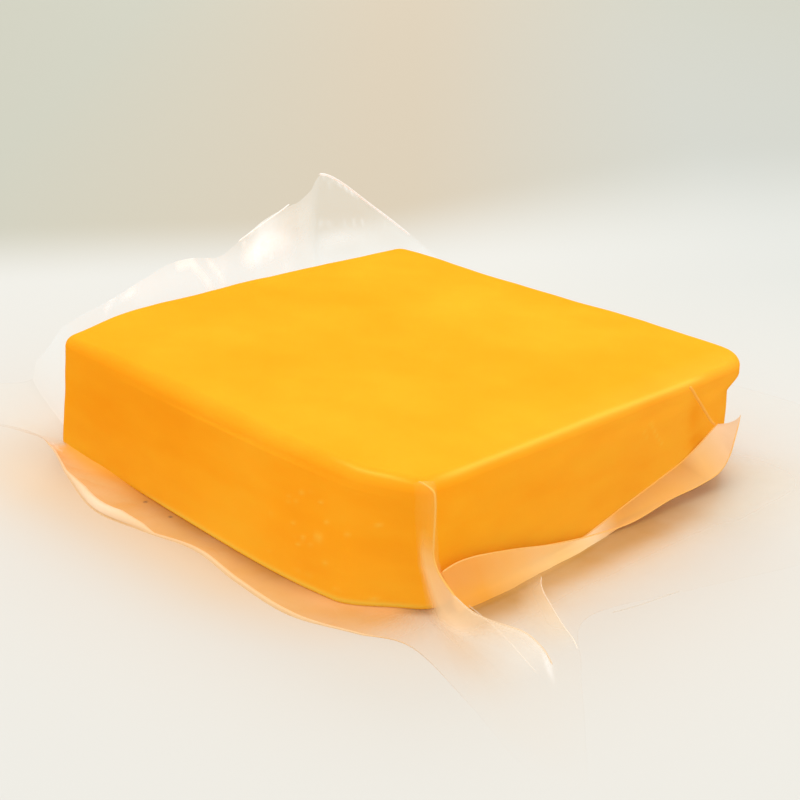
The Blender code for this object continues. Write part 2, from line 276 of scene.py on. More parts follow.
def waves(points, size, seed, count=9):
    """Smooth uneven noise from -1 to 1: cosine waves in seeded directions, about size long."""
    random = np.random.default_rng(seed)
    total = np.zeros(points.shape[:-1])
    for _ in range(count):
        direction = random.normal(size=points.shape[-1])
        direction /= np.linalg.norm(direction)
        length = size * random.uniform(0.6, 1.6)
        total += np.cos(points @ direction * 2.0 * np.pi / length + random.uniform(0.0, 6.28))
    return total / math.sqrt(count / 2.0) / 1.6


def folds(across, along, seed, count, width, middle, spread):
    """Sharp folds in a plane: straight seeded creases, each a tent across and a bell along its length."""
    random = np.random.default_rng(seed)
    total = np.zeros(np.broadcast(across, along).shape)
    for _ in range(count):
        angle = random.uniform(0.0, np.pi)
        x = middle[0] + random.uniform(-spread[0], spread[0])
        y = middle[1] + random.uniform(-spread[1], spread[1])
        reach = width * random.uniform(0.5, 1.8)
        off = (across - x) * np.cos(angle) + (along - y) * np.sin(angle)
        on = -(across - x) * np.sin(angle) + (along - y) * np.cos(angle)
        length = reach * random.uniform(1.5, 4.0)
        tent = np.clip(1.0 - np.abs(off) / reach, 0.0, 1.0) * np.exp(-(on / length) ** 2)
        total += tent * random.choice([-1.0, 1.0]) * random.uniform(0.4, 1.0)
    return total


def line_distance(across, along, line):
    """Distance in a plane from each point to a line through the given points."""
    nearest = np.full(np.broadcast(across, along).shape, 1e9)
    for (x0, y0), (x1, y1) in zip(line[:-1], line[1:]):
        dx, dy = x1 - x0, y1 - y0
        t = np.clip(((across - x0) * dx + (along - y0) * dy) / (dx * dx + dy * dy), 0.0, 1.0)
        nearest = np.minimum(nearest, np.hypot(across - x0 - t * dx, along - y0 - t * dy))
    return nearest


def grid_normals(grid, wrap):
    """Unit normals of a grid of points, by the cross product of its two directions."""
    down = np.gradient(grid, axis=0)
    if wrap:
        along = np.roll(grid, -1, axis=1) - np.roll(grid, 1, axis=1)
    else:
        along = np.gradient(grid, axis=1)
    normals = np.cross(along, down)
    return normals / np.maximum(np.linalg.norm(normals, axis=2), 1e-9)[:, :, None]


def grid_faces(rows, columns, wrap):
    """Quads over a grid of points, facing along columns x rows; wrap joins the last column to the first."""
    across = columns if wrap else columns - 1
    row, column = np.meshgrid(np.arange(rows - 1), np.arange(across), indexing="ij")
    here = row * columns + column
    beside = row * columns + (column + 1) % columns
    return np.stack([here, beside, beside + columns, here + columns], axis=-1).reshape(-1, 4)


def new_piece(name, points, faces, material, slot, **values):
    """An object that rides on the pack, from points in millimetres, with a value or colour at each point."""
    mesh = bpy.data.meshes.new(name)
    mesh.from_pydata((points.reshape(-1, 3) * MM).tolist(), [], [list(face) for face in faces])
    mesh.shade_smooth()
    for attribute, value in values.items():
        value = np.asarray(value, np.float32)
        if value.size == 3 * len(mesh.vertices):
            color = np.column_stack([value.reshape(-1, 3), np.ones(len(mesh.vertices), np.float32)])
            layer = mesh.attributes.new(attribute, "FLOAT_COLOR", "POINT")
            layer.data.foreach_set("color", color.ravel())
        else:
            layer = mesh.attributes.new(attribute, "FLOAT", "POINT")
            layer.data.foreach_set("value", value.ravel())
    mesh.materials.append(material)
    made = bpy.data.objects.new(name, mesh)
    bpy.context.scene.collection.objects.link(made)
    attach(made, "root")
    return made


def let_light_through(film):
    """Clear film lets nearly all light through to what it covers."""
    film.visible_shadow = False
    film.visible_diffuse = False
    return film


class Nodes:
    """Short ways to add and join the nodes of a tree."""

    def __init__(self, tree):
        self.tree = tree

    def add(self, kind, inputs=(), **settings):
        node = self.tree.nodes.new(kind)
        for key, value in settings.items():
            setattr(node, key, value)
        self.fill(node, dict(inputs))
        return node

    def fill(self, node, values):
        for socket, value in values.items():
            self.put(node.inputs[socket], value)

    def put(self, socket, value):
        if isinstance(value, bpy.types.NodeSocket):
            self.tree.links.new(value, socket)
        else:
            socket.default_value = value

    def attribute(self, name, output="Fac"):
        return self.add("ShaderNodeAttribute", attribute_name=name).outputs[output]

    def math(self, operation, first, second=0.0, clamp=False):
        node = self.add("ShaderNodeMath", {0: first, 1: second}, operation=operation, use_clamp=clamp)
        return node.outputs[0]

    def plus(self, first, second):
        return self.math("ADD", first, second)

    def minus(self, first, second, clamp=False):
        return self.math("SUBTRACT", first, second, clamp)

    def times(self, first, second, clamp=False):
        return self.math("MULTIPLY", first, second, clamp)

    def larger(self, first, second):
        return self.math("MAXIMUM", first, second)

    def noise(self, place, scale, detail=3.0, stretch=(1.0, 1.0, 1.0), roughness=0.5):
        mapping = self.add("ShaderNodeMapping", {"Vector": place, "Scale": stretch})
        inputs = {"Vector": mapping.outputs[0], "Scale": scale, "Detail": detail, "Roughness": roughness}
        return self.add("ShaderNodeTexNoise", inputs).outputs["Fac"]

    def spread(self, value, low, high):
        node = self.add("ShaderNodeMapRange", {"Value": value, "From Min": low, "From Max": high})
        return node.outputs["Result"]

    def blend(self, share, first, second):
        node = self.add("ShaderNodeMix", data_type="RGBA", blend_type="MIX")
        self.put(node.inputs[0], share)
        self.put(node.inputs[6], first)
        self.put(node.inputs[7], second)
        return node.outputs[2]


def new_group(name, inputs, outputs):
    """An empty node group with inputs (name, kind, default) and outputs (name, kind)."""
    group = bpy.data.node_groups.new(name, "ShaderNodeTree")
    for title, kind, value in inputs:
        socket = group.interface.new_socket(title, in_out="INPUT", socket_type=kind)
        if value is not None:
            socket.default_value = value
    for title, kind in outputs:
        group.interface.new_socket(title, in_out="OUTPUT", socket_type=kind)
    return group


# The cheese's colours, those of the marks on it, and painted light and shade: lighter low down and on the
# right wall, darker in each pocket, and highlights along the film's lines
SIDE_ORANGE = (1.0, 0.365, 0.012, 1.0)
TOP_ORANGE = (1.0, 0.360, 0.015, 1.0)
FOOT_LIT_ORANGE = (1.0, 0.435, 0.024, 1.0)
RIGHT_WALL_LIT_ORANGE = (1.0, 0.44, 0.04, 1.0)
PALE_STREAK = (1.0, 0.50, 0.03, 1.0)
DEEP_STREAK = (0.92, 0.25, 0.004, 1.0)
POCKET_SHADE_ORANGE = (0.93, 0.28, 0.007, 1.0)
LINE_HIGHLIGHT_YELLOW = (1.0, 0.66, 0.09, 1.0)
BUBBLE_YELLOW = (1.0, 0.55, 0.07, 1.0)
SPECK_BROWN = (0.10, 0.03, 0.004, 1.0)
MOTTLE_SHARE = 0.30
# The film's pale clouds, and the colour of the painted glow, an emission, of standing film
FILM_CLOUD = (1.0, 0.93, 0.80, 1.0)
DAYLIGHT_GLOW = (0.92, 0.94, 1.0, 1.0)


def mottling_group():
    """Soft streaks and clouds on cheese: a colour, changed a little, and a bump height.

    Two noises are added. Where their sum is high the colour goes pale, and where it is low, deep.
    """
    inputs = [
        ("Vector", "NodeSocketVector", None),
        ("Color", "NodeSocketColor", (1, 1, 1, 1)),
        ("Amount", "NodeSocketFloat", 1.0),
    ]
    outputs = [("Color", "NodeSocketColor"), ("Height", "NodeSocketFloat")]
    group = new_group("cheese mottling", inputs, outputs)
    nodes = Nodes(group)
    given = nodes.add("NodeGroupInput")
    place = given.outputs["Vector"]
    streak = nodes.noise(place, 42.0, 4.0, (1.0, 1.0, 3.2))
    cloud = nodes.noise(place, 17.0, 2.0, (1.0, 1.6, 1.0))
    grain = nodes.noise(place, 420.0, 3.0)
    light = nodes.plus(nodes.spread(streak, 0.3, 0.72), nodes.spread(cloud, 0.32, 0.7))
    light = nodes.times(nodes.minus(light, 1.0), given.outputs["Amount"])
    dark = nodes.times(light, -1.0)
    pale = nodes.times(nodes.larger(light, 0.0), MOTTLE_SHARE, True)
    deep = nodes.times(nodes.larger(dark, 0.0), MOTTLE_SHARE, True)
    color = nodes.blend(pale, given.outputs["Color"], PALE_STREAK)
    color = nodes.blend(deep, color, DEEP_STREAK)
    height = nodes.plus(nodes.times(grain, 0.25), nodes.times(streak, 0.75))
    out = nodes.add("NodeGroupOutput")
    nodes.fill(out, {
        "Color": color,
        "Height": height,
    })
    return group


def crinkle_group():
    """Fine creases in film: a height of soft noise, with ridges where a second noise is near its middle."""
    inputs = [("Vector", "NodeSocketVector", None)]
    group = new_group("film crinkles", inputs, [("Height", "NodeSocketFloat")])
    nodes = Nodes(group)
    given = nodes.add("NodeGroupInput")
    place = given.outputs["Vector"]
    soft = nodes.noise(place, 60.0, 3.0, (1.0, 1.7, 1.0), 0.6)
    sharp = nodes.noise(place, 110.0, 1.0, (1.6, 1.0, 0.7))
    sharp = nodes.math("ABSOLUTE", nodes.minus(sharp, 0.5))
    ridges = nodes.minus(1.0, nodes.times(sharp, 5.0), True)
    out = nodes.add("NodeGroupOutput")
    nodes.put(out.inputs["Height"], nodes.plus(soft, nodes.times(ridges, 0.3)))
    return group


def new_material(name):
    """A material with a Principled BSDF, as (material, its Nodes, the shader)."""
    material = bpy.data.materials.new(name)
    material.use_nodes = True
    nodes = Nodes(material.node_tree)
    shader = material.node_tree.nodes["Principled BSDF"]
    return material, nodes, shader


def cheese_material():
    """Orange cheese under tight film, painted lighter and yellower low down and on the right wall, with
    mottling and film marks, among them painted shade and highlights.
    """
    material, nodes, shader = new_material("gouda")
    place = nodes.add("ShaderNodeTexCoord").outputs["Object"]
    x, y, height = nodes.add("ShaderNodeSeparateXYZ", {0: place}).outputs
    top = nodes.attribute("top")
    color = nodes.blend(top, SIDE_ORANGE, TOP_ORANGE)
    # Painted light: the wall is lighter and yellower low down, near the foot
    lit_low_down = nodes.times(nodes.spread(height, 0.016, 0.0), 0.75, True)
    color = nodes.blend(lit_low_down, color, FOOT_LIT_ORANGE)
    # Painted light: the right wall is lighter and yellower
    right_side = nodes.times(nodes.spread(x, 0.052, 0.062), nodes.spread(y, -0.05, 0.03))
    color = nodes.blend(nodes.times(right_side, 0.5), color, RIGHT_WALL_LIT_ORANGE)
    mottling = nodes.add("ShaderNodeGroup", node_tree=MOTTLING)
    nodes.fill(mottling, {
        "Vector": place,
        "Color": color,
        "Amount": nodes.minus(1.20, nodes.times(top, 0.20)),
    })
    color = mottling.outputs["Color"]
    # Painted shade in each pocket of the right wall
    color = nodes.blend(nodes.times(nodes.attribute("pocket"), 0.6), color, POCKET_SHADE_ORANGE)
    # Painted highlights along the film's raised lines
    color = nodes.blend(nodes.attribute("film_line_highlight"), color, LINE_HIGHLIGHT_YELLOW)
    color = nodes.blend(nodes.attribute("bubble"), color, BUBBLE_YELLOW)
    color = nodes.blend(nodes.attribute("speck"), color, SPECK_BROWN)
    nodes.fill(shader, {
        "Base Color": color,
        "Roughness": 0.42,
        "Specular IOR Level": 0.0,
        "Subsurface Weight": 0.12,
        "Subsurface Radius": (1.0, 0.4, 0.08),
        "Subsurface Scale": 0.003,
    })
    bump = nodes.add("ShaderNodeBump", {"Strength": 0.25, "Distance": 0.0006})
    nodes.put(bump.inputs["Height"], mottling.outputs["Height"])
    nodes.put(shader.inputs["Normal"], bump.outputs[0])
    return material


def film_material(name, gloss, painted_through_glow):
    """Thin film: its colour, how far it veils what is behind it and how crinkled it is come from the mesh.

    Its alpha is the veil, raised where the film is seen at a slant. Film that stands up also glows with a
    constant emission, painted light standing in for the light that falls on its back and comes through:
    painted_through_glow.
    """
    material, nodes, shader = new_material(name)
    nodes.fill(shader, {
        "Emission Color": DAYLIGHT_GLOW,
        "Emission Strength": painted_through_glow,
    })
    place = nodes.add("ShaderNodeTexCoord").outputs["Object"]
    crinkles = nodes.add("ShaderNodeGroup", node_tree=CRINKLES)
    nodes.put(crinkles.inputs["Vector"], place)
    crumpled = nodes.attribute("crinkle")
    nodes.fill(shader, {
        "Coat Weight": crumpled,
        "Coat Roughness": 0.06,
    })
    cloudy = nodes.spread(nodes.noise(place, 55.0, 3.0), 0.25, 0.75)
    color = nodes.blend(nodes.times(cloudy, 0.12), nodes.attribute("tone", "Color"), FILM_CLOUD)
    nodes.fill(shader, {
        "Base Color": color,
        "Roughness": 0.3,
        "Specular IOR Level": gloss,
    })
    facing = nodes.add("ShaderNodeLayerWeight", {"Blend": 0.35}).outputs["Facing"]
    slanted = nodes.plus(0.85, nodes.times(facing, 0.3))
    nodes.put(shader.inputs["Alpha"], nodes.times(nodes.attribute("veil"), slanted, True))
    bump = nodes.add("ShaderNodeBump", {"Distance": 0.0008, "Height": crinkles.outputs["Height"]})
    nodes.put(bump.inputs["Strength"], nodes.plus(0.08, nodes.times(crumpled, 0.7)))
    nodes.put(shader.inputs["Normal"], bump.outputs[0])
    return material


# Raised lines of film on the slab, with painted highlights along them: (station, place up the profile),
# width, height and brightness of the highlight.
# The place is the height on the walls, and 30 plus the distance from the edge on the top.
FILM_LINES = [
    ([(0.79, 31.4), (0.86, 30.9), (0.94, 30.6), (0.99, 30.2)], 0.55, 0.10, 0.42),
    ([(0.28, 1.9), (0.60, 1.9), (1.02, 1.9)], 0.55, 0.0, 0.6),
    ([(0.995, 30.4), (1.06, 30.5), (1.25, 30.7), (1.55, 30.6), (1.84, 30.4)], 1.0, 0.12, 0.42),
]
# The same on the front right wall, as (y, z)
WALL_LINES = [
    ([(16.6, 23.6), (18.6, 20.6), (21.6, 17.0)], 0.3, 0.10, 0.22),
    ([(13.8, 22.6), (15.6, 19.8)], 0.3, 0.10, 0.16),
]
# Dents, darkened with painted shade, where the light doesn't reach: y, z, width, height
POCKETS = [(36.6, 13.6, 3.4, 2.6), (35.2, 20.5, 2.8, 4.6)]
# The bubbles under the film, as (station, height, radius): a large one, and seeded small ones round it
LARGE_BUBBLE = (0.815, 13.0, 1.0)
BUBBLE_COUNT = 34
# A dark speck on the slab, as (station, height, radius)
SPECKS = [(0.56, 9.0, 0.22)]


# The rings of the slab's surface, from the underside up
UNDERSIDE_INSETS = (40.0, 20.0, 8.0, 3.0)
FOOT_RINGS = 7
WALL_RINGS = 56
WALL_END = 25.9
EDGE_RINGS = 14
CROWN_RINGS = 92
CROWN_HOLE = 0.012
MIDDLE_REACH = 61.5
CROWN_REACH = 61.0


def slab_rings():
    """The slab's rings as (stations, grid of points, place of each point up the profile).

    The profile is a flat underside, a quarter circle at the foot, the wall, a quarter circle at the top edge,
    and a crown whose height is its full rise less the square of the share of the way out.
    """
    rings = []
    places = []

    def ring(height, inset, level, place):
        points = outline(height)[1]
        points = points - outward_normals(points) * np.broadcast_to(inset, len(points))[:, None]
        rings.append(np.column_stack([points, np.broadcast_to(level, len(points))]))
        places.append(np.broadcast_to(place, len(points)))

    base = outline(SLAB_BASE)[1]
    for inset in UNDERSIDE_INSETS:
        share = 1.0 - inset / MIDDLE_REACH
        rings.append(np.column_stack([base * share, np.full(len(base), SLAB_BASE)]))
        places.append(np.full(len(base), -inset))
    for angle in np.radians(np.linspace(0.0, 78.0, FOOT_RINGS)):
        height = SLAB_BASE + FOOT_ROUND * (1.0 - np.cos(angle))
        ring(height, FOOT_ROUND * (1.0 - np.sin(angle)), height, height)
    for height in np.linspace(SLAB_BASE + FOOT_ROUND, WALL_END, WALL_RINGS):
        ring(height, 0.0, height, height)
    stations = outline(SLAB_TOP)[0]
    edge_rounds = around(np.arange(4) + 0.5, TOP_EDGE_ROUNDS, stations)
    for angle in np.radians(np.linspace(0.0, 90.0, EDGE_RINGS)):
        inset = edge_rounds * (1.0 - np.cos(angle))
        level = SLAB_TOP - edge_rounds * (1.0 - np.sin(angle))
        ring(level.mean(), inset, level, level + inset)
    rim = rings[-1]
    rim_place = places[-1]
    middle = np.array([rim[:, 0].mean(), rim[:, 1].mean(), SLAB_TOP])
    for share in np.linspace(1.0, CROWN_HOLE, CROWN_RINGS)[1:]:
        points = middle + (rim - middle) * share
        points[:, 2] = SLAB_TOP + TOP_CROWN * (1.0 - share ** 2)
        rings.append(points)
        places.append(rim_place + (1.0 - share) * CROWN_REACH)
    return stations, np.stack(rings), np.stack(places)


def cheese_marks(grid, place, run):
    """The relief of the slab's surface in millimetres, and how strongly each kind of mark colours it.

    The relief is wavy noise, with a ridge along each line of film, a dent at each pocket and a bump at each
    bubble. Each of them is a bell over the distance from it. The lines carry painted highlights, and each
    pocket painted shade.
    """
    relief = 0.22 * waves(grid, 38.0, SEED) + 0.05 * waves(grid, 9.0, SEED + 1)
    lines = np.zeros(place.shape)
    for points, width, height, highlight in FILM_LINES:
        line = [(station * SIDE_RUN, up) for station, up in points]
        near = np.exp(-(line_distance(run, place, line) / width) ** 2)
        near = near * smooth_step(0.0, 14.0, run - line[0][0]) * smooth_step(-2.0, 8.0, line[-1][0] - run)
        relief = relief + height * near
        lines = np.maximum(lines, highlight * near)
    across, up = grid[:, :, 1], grid[:, :, 2]
    right_wall = smooth_step(57.0, 60.0, grid[:, :, 0]) * smooth_step(-60.5, -58.0, across)
    for points, width, height, highlight in WALL_LINES:
        near = right_wall * np.exp(-(line_distance(across, up, points) / width) ** 2)
        relief = relief + height * near
        lines = np.maximum(lines, highlight * near)
    pocket_shade = np.zeros(place.shape)
    for y, z, wide, high in POCKETS:
        near = right_wall * np.exp(-((across - y) / wide) ** 2 - ((up - z) / high) ** 2)
        relief = relief - 0.5 * near
        pocket_shade = np.maximum(pocket_shade, near)
    bubbles = np.zeros(place.shape)
    random = np.random.default_rng(SEED + 2)
    spots = [LARGE_BUBBLE]
    for _ in range(BUBBLE_COUNT):
        spots.append((random.normal(0.80, 0.07), random.uniform(3.0, 22.0), random.uniform(0.25, 0.5)))
    for station, up, radius in spots:
        near = np.exp(-((run - station * SIDE_RUN) ** 2 + (place - up) ** 2) / radius ** 2)
        relief = relief + 0.12 * near
        bubbles = np.maximum(bubbles, 0.5 * near)
    specks = np.zeros(place.shape)
    for station, up, radius in SPECKS:
        near = np.exp(-(((run - station * SIDE_RUN) ** 2 + (place - up) ** 2) / radius ** 2) ** 2)
        specks = np.maximum(specks, near)
    relief = relief * smooth_step(0.0, 4.0, place) * (1.0 - smooth_step(84.0, 90.0, place))
    return relief, {"film_line_highlight": lines, "bubble": bubbles, "speck": specks, "pocket": pocket_shade}


def make_cheese():
    """The slab's rings, moved out along their normals by the relief, and closed at the two poles."""
    stations, grid, place = slab_rings()
    run = np.broadcast_to(stations[None, :] * SIDE_RUN, place.shape)
    top = smooth_step(27.2, 29.9, grid[:, :, 2])
    relief, marks = cheese_marks(grid, place, run)
    grid = grid + grid_normals(grid, True) * relief[:, :, None]

    rows, columns = grid.shape[:2]
    points = np.vstack([grid.reshape(-1, 3), [(0.0, 0.0, SLAB_BASE)], [grid[-1].mean(axis=0)]])
    foot_pole = rows * columns
    faces = grid_faces(rows, columns, True).tolist()
    for column in range(columns):
        after = (column + 1) % columns
        faces.append([foot_pole, after, column])
        faces.append([foot_pole + 1, (rows - 1) * columns + column, (rows - 1) * columns + after])

    values = {"top": np.concatenate([top.ravel(), [0.0, 1.0]])}
    for name, mark in marks.items():
        values[name] = np.concatenate([mark.ravel(), [0.0, 0.0]])
    cheese = new_piece("cheese", points, faces, cheese_material(), "gouda", **values)
    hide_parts("gouda_block")


# Colours of the film where it lies over the table, in the cheese's painted orange light, or is clear, and of
# painted highlights
TONE_CLEAR = (0.75, 0.92, 1.0)
TONE_RIM = (0.84, 0.56, 0.29)
TONE_PALE = (1.0, 0.88, 0.72)
TONE_HIGHLIGHT_WHITE = (1.0, 1.0, 0.98)
# By station: the film's colour at the foot, painted shade and the cheese's painted orange light, and out on
# the table, warmed by that painted light near the slab
FOOT_SHADE_AND_GLOW_TONES = [
    (0.00, 0.98, 0.42, 0.02),
    (0.15, 0.96, 0.41, 0.025),
    (0.28, 0.70, 0.30, 0.030),
    (0.36, 0.50, 0.20, 0.020),
    (0.50, 0.43, 0.17, 0.012),
    (0.72, 0.50, 0.21, 0.030),
    (0.84, 0.80, 0.38, 0.10),
    (0.95, 0.88, 0.44, 0.14),
    (1.01, 0.56, 0.28, 0.07),
    (1.06, 0.42, 0.20, 0.030),
    (1.30, 0.49, 0.25, 0.045),
    (1.70, 0.44, 0.22, 0.040),
    (1.95, 0.62, 0.46, 0.26),
    (2.20, 0.66, 0.55, 0.38),
    (4.00, 0.74, 0.60, 0.42),
]
TABLE_TONES = [
    (0.00, 0.74, 0.47, 0.24),
    (0.15, 0.74, 0.38, 0.10),
    (0.50, 0.68, 0.35, 0.080),
    (0.80, 0.69, 0.36, 0.090),
    (0.90, 0.66, 0.30, 0.040),
    (0.97, 0.67, 0.34, 0.090),
    (1.05, 0.68, 0.45, 0.22),
    (1.50, 0.68, 0.45, 0.22),
    (1.75, 0.60, 0.52, 0.38),
    (2.10, 0.62, 0.56, 0.45),
    (4.00, 0.74, 0.66, 0.52),
]


def blend_tones(share, first, second):
    """From the first colour to the second as share goes from 0 to 1, at each point."""
    share = np.clip(share, 0.0, 1.0)[..., None]
    return np.asarray(first) * (1.0 - share) + np.asarray(second) * share


def tones_at(rows, places):
    """Colours known at a few places along a line, read at the wanted places."""
    rows = np.asarray(rows)
    return np.stack([np.interp(places, rows[:, 0], rows[:, column]) for column in (1, 2, 3)], axis=-1)


def flange_edge():
    """The flange's free edge as (stations, points), splined through its rows."""
    rows = FREE_EDGE.copy()
    # Stations grow by 4 in one round, so an even growth comes off them while they are splined.
    rows[:, 0] -= np.linspace(0.0, 4.0, len(rows), endpoint=False)
    curve = closed_spline(rows, LINES_A_ROW)
    stations = curve[:, 0] + np.linspace(0.0, 4.0, len(curve), endpoint=False)
    edge = curve[:, 1:4]
    edge[:, 2] = np.maximum(edge[:, 2], 0.4)
    return stations, edge


def foot_line(stations, reach):
    """The slab's foot, moved out by reach, at the wanted stations, and its outward normals."""
    known, points = outline(SLAB_BASE + FOOT_ROUND)
    points = points + outward_normals(points) * reach
    line = np.column_stack([around(known, points[:, axis], stations) for axis in range(2)])
    return line, outward_normals(line)


# Specks on the film before the front left side, and a fold along the front ear with a painted white
# highlight, as (x, y)
FILM_SPECKS = [(-20.8, -70.6), (-9.9, -71.8)]
EAR_FOLD = [(93.0, -57.6), (95.6, -59.6), (101.6, -64.8), (106.2, -69.0)]
# Places on the mouth, as (y, z), where the crumpled film turns white, partly by creasing and partly as
# painted glints: lines, and soft patches
MOUTH_LINES = [
    ([(12.0, 37.0), (15.0, 39.2), (24.2, 42.4), (35.5, 45.0)], 0.6, 0.9),
    ([(53.2, 48.6), (58.5, 46.6), (65.5, 42.6)], 1.0, 0.75),
    ([(-13.5, 37.2), (-9.6, 37.4), (-6.2, 33.4), (-2.6, 27.4)], 1.4, 1.0),
    ([(-3.6, 36.8), (0.6, 32.0), (3.0, 26.5)], 1.1, 0.6),
    ([(44.6, 42.0), (46.0, 36.6), (52.0, 34.8), (66.0, 33.6), (75.0, 31.0)], 0.6, 0.34),
    ([(-37.6, 28.6), (-35.0, 31.6)], 0.9, 1.0),
    ([(-31.8, 31.4), (-28.4, 32.8)], 1.2, 1.0),
    ([(13.6, 31.5), (18.0, 29.8), (24.0, 31.0), (31.0, 29.6)], 0.8, 0.7),
    ([(-63.5, 22.6), (-60.0, 24.0), (-56.0, 23.6)], 0.9, 0.7),
    ([(-64.0, 10.0), (-60.0, 12.0), (-55.5, 15.0)], 0.6, 0.5),
]
MOUTH_PATCHES = [
    (22.0, 34.0, 11.0, 3.4, 0.55),
    (17.0, 33.0, 4.0, 1.6, 0.45),
    (26.0, 38.5, 10.0, 6.0, 0.34),
    (34.0, 42.0, 6.0, 4.0, 0.28),
    (-24.0, 32.0, 14.0, 5.0, 0.22),
    (60.0, 30.0, 18.0, 3.0, 0.26),
]


def mouth_veil(across, up, crumple, small):
    """How white the mouth's film is at each (y, z), partly creased film and partly painted glints: soft
    patches broken by folds, and ribbed lines.

    The patches are bells, added up. A line is a bell over the distance from it, times a cosine of the height,
    and takes over where it is stronger.
    """
    veil = 0.11 + 0.05 * waves(np.stack([across, up], axis=-1), 22.0, SEED + 20)
    veil = veil - 0.06 * smooth_step(36.0, 44.0, up) * smooth_step(40.0, 47.0, across)
    veil = veil + 0.10 * np.clip(np.abs(crumple) - 0.25, 0.0, 1.0)
    veil = veil + 0.16 * np.clip(np.abs(small) - 0.4, 0.0, 1.0)
    broken = 0.75 + 0.5 * np.clip(small, -0.5, 0.5) + 0.35 * np.clip(crumple, -0.6, 0.6)
    for y, z, wide, high, strength in MOUTH_PATCHES:
        veil = veil + strength * broken * np.exp(-((across - y) / wide) ** 2 - ((up - z) / high) ** 2)
    ribs = 0.75 + 0.25 * np.cos(up * 2.0 * np.pi / 1.6)
    for points, width, strength in MOUTH_LINES:
        near = np.exp(-(line_distance(across, up, points) / width) ** 2)
        veil = np.maximum(veil, strength * ribs * near)
    return np.clip(veil, 0.03, 0.95)


def film_piece(name, grid, veil, tone, crinkle, wrap=False):
    """A clear sheet over a grid of points, with its veil, tone and crinkle at each of them."""
    faces = grid_faces(*grid.shape[:2], wrap)
    return new_piece(name, grid, faces, FILM, "clear_film", veil=veil, tone=tone, crinkle=crinkle)


# Heights of the flange: under the slab, where it leaves the foot, how much higher it clings at the left,
# where it bends, and the lowest that it lies
UNDER_SLAB = 0.25
FOOT_CLING = 1.2
LEFT_CLING = 1.3
BEND_LEVEL = 0.4
LOWEST_FLANGE = 0.15
LIP_TURN = 150.0
LIP_RADIUS_SHARE = 0.6
# The middle of the mouth's crumples, as run and distance from the foot
MOUTH_MIDDLE = (3.45 * SIDE_RUN, 22.0)
# Where the sheet gathers at the ears, as stations and widths, and the fan of the gathers
EAR_GATHERS = [(1.01, 0.05), (0.0, 0.03), (4.0, 0.05), (2.03, 0.1)]
GATHER_MIDDLE = (60.0, -58.0)
GATHER_COUNT = 26.0


def flange_grid(stations, edge, foot, outward, standing):
    """The flange as (grid of points, share of the way out, large crumples, small crumples).

    Each line across it is a quadratic curve from the foot to the free edge, whose middle point is low, and
    its rim goes on as an arc. The mouth is crumpled by folds, and the flat parts are lifted by wavy noise and
    by sine gathers that fan out to the ears.
    """
    # At the left it clings a little higher
    cling = FOOT_CLING + LEFT_CLING * smooth_step(-0.02, 0.03, stations) * smooth_step(0.32, 0.16, stations)
    ground = np.column_stack([foot, cling])
    bend = ground + (edge - ground) * (0.7 - 0.25 * standing)[:, None]
    bend[:, 2] = BEND_LEVEL
    inward = ground - edge
    inward /= np.linalg.norm(inward, axis=1)[:, None]
    rows = [np.column_stack([foot * 0.94, np.full(len(foot), UNDER_SLAB)])]
    shares = [0.0]
    for t in np.linspace(0.0, 1.0, FLANGE_ACROSS):
        rows.append((1 - t) ** 2 * ground + 2 * t * (1 - t) * bend + t * t * edge)
        shares.append(t)
    radius = LIP_RADIUS_SHARE * around(LIP_STATIONS, LIP_WIDTHS, stations)[:, None]
    upward = np.array([0.0, 0.0, 1.0])
    for angle in np.radians(np.linspace(0.0, LIP_TURN, LIP_ACROSS + 1)[1:]):
        rows.append(edge + radius * (inward * (1.0 - np.cos(angle)) + upward * np.sin(angle)))
        shares.append(1.0)
    grid = np.stack(rows)
    share = np.broadcast_to(np.array(shares)[:, None], grid.shape[:2])
    along = np.broadcast_to(stations * SIDE_RUN, share.shape)
    reach = np.linalg.norm(edge[:, :2] - foot, axis=1) * share

    mouth = standing * smooth_step(0.05, 0.5, share)
    crumple = folds(along, reach, SEED + 5, 46, 9.0, MOUTH_MIDDLE, (64.0, 24.0))
    small = folds(along, reach, SEED + 6, 70, 4.0, MOUTH_MIDDLE, (64.0, 26.0))
    grid[:, :, :2] += outward[None, :, :] * (mouth * (1.7 * crumple + 0.6 * small))[:, :, None]
    flat = (1.0 - standing) * np.sin(np.pi * np.clip(share, 0.0, 1.0)) ** 0.7
    lift = 0.35 + 0.3 * waves(grid[:, :, :2], 26.0, SEED + 7)
    lift = lift + 0.25 * np.abs(waves(grid[:, :, :2], 11.0, SEED + 8))
    ears = sum(hump(station, width, stations) for station, width in EAR_GATHERS)
    turn = np.arctan2(grid[:, :, 1] - GATHER_MIDDLE[1], grid[:, :, 0] - GATHER_MIDDLE[0])
    gathers = ears * np.sin(turn * GATHER_COUNT)
    grid[:, :, 2] += flat * (lift + 0.35 * np.abs(gathers))
    grid[:, :, 2] = np.maximum(grid[:, :, 2], LOWEST_FLANGE)
    return grid, share, crumple, small


# Where the front ear starts to spread, and the colours of the brown specks and of the rim's painted highlight
EAR_START = (70.0, -70.0)
SPECK_RADIUS = 0.30
TONE_SPECK = (0.16, 0.06, 0.01)
TONE_RIM_HIGHLIGHT = (0.92, 0.70, 0.48)


